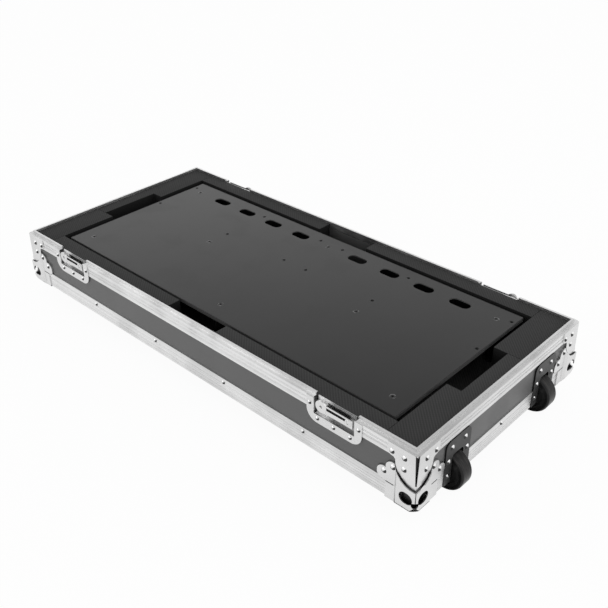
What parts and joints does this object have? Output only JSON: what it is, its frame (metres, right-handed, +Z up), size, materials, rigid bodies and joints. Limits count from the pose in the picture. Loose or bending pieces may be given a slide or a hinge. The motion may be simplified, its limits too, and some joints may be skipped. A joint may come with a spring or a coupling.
{
  "type": "guitar pedal case",
  "caption": "Wheeled flight case base with foam nest, lift-out pedalboard with cable slots, latch keepers, corner caps, feet and pull handle; lid off.",
  "frame": {"origin": "on the floor, under the middle of the case and its protruding wheels and handle", "axes": "+X along the case towards the wheeled end, +Y across it towards the back, +Z up"},
  "size_m": [0.94, 0.4202, 0.125],
  "materials": {
    "laminate": "matt grey laminate on plywood",
    "extrusion": "satin, fine lengthwise lines",
    "plated_steel": "bright zinc plate",
    "rivet_steel": "bright",
    "black_steel": "satin black",
    "bright_steel": "bright zinc plate",
    "nylon": "matt black",
    "tyre_rubber": "matt black, scuffed tread",
    "foam": "matt charcoal foam with a fine ribbed face",
    "rubber": "matt black",
    "board_paint": "satin black powder coat",
    "black_screw": "black oxide"
  },
  "bodies": {
    "case": {"bottom_panel": "laminate", "front_panel": "laminate", "back_panel": "laminate", "left_panel": "laminate", "right_panel": "laminate", "front_base_edge": "extrusion", "back_base_edge": "extrusion", "left_base_edge": "extrusion", "right_base_edge": "extrusion", "front_rim": "extrusion", "back_rim": "extrusion", "left_rim": "extrusion", "right_rim": "extrusion", "front_left_corner_cap": "plated_steel", "front_right_corner_cap": "plated_steel", "back_left_corner_cap": "plated_steel", "back_right_corner_cap": "plated_steel", "front_left_rim_brace": "plated_steel", "front_right_rim_brace": "plated_steel", "back_left_rim_brace": "plated_steel", "back_right_rim_brace": "plated_steel", "front_left_latch_dish": "plated_steel", "front_right_latch_dish": "plated_steel", "back_left_latch_dish": "plated_steel", "back_right_latch_dish": "plated_steel", "front_left_keeper": "plated_steel", "front_right_keeper": "plated_steel", "back_left_keeper": "plated_steel", "back_right_keeper": "plated_steel", "corner_cap_rivets": "rivet_steel", "rim_brace_rivets": "rivet_steel", "latch_rivets": "rivet_steel", "edge_rivets": "rivet_steel", "wheel_plate_rivets": "rivet_steel", "handle_rivets": "rivet_steel", "front_wheel_plate": "black_steel", "back_wheel_plate": "black_steel", "front_wheel_housing": "black_steel", "back_wheel_housing": "black_steel", "handle_plate": "black_steel", "front_axle": "bright_steel", "back_axle": "bright_steel", "handle_pins": "bright_steel", "foot_screws": "bright_steel", "foam_floor": "foam", "front_foam": "foam", "back_foam": "foam", "left_foam": "foam", "right_foam": "foam", "rubber_feet": "rubber"},
    "pedalboard": {"board_plate": "board_paint", "board_posts": "nylon", "board_post_tips": "rubber", "board_screws": "black_screw"},
    "front_wheel": {"front_wheel_core": "nylon", "front_wheel_tyre": "tyre_rubber"},
    "back_wheel": {"back_wheel_core": "nylon", "back_wheel_tyre": "tyre_rubber"},
    "pull_handle": {"handle_bail": "bright_steel", "handle_grip": "rubber"}
  },
  "joints": [
    {"name": "board_lift", "type": "slide", "parent": "case", "child": "pedalboard", "axis": [0, 0, 1], "range_m": [0, 0.11]},
    {"name": "front_wheel_spin", "type": "hinge", "parent": "case", "child": "front_wheel", "pos_m": [0.4375, -0.113, 0.0345], "axis": [0, 1, 0], "continuous": true},
    {"name": "back_wheel_spin", "type": "hinge", "parent": "case", "child": "back_wheel", "pos_m": [0.4375, 0.113, 0.0345], "axis": [0, 1, 0], "continuous": true},
    {"name": "handle_swing", "type": "hinge", "parent": "case", "child": "pull_handle", "pos_m": [-0.46, 0, 0.08887], "axis": [0, 1, 0], "range_deg": [0, 95]}
  ]
}
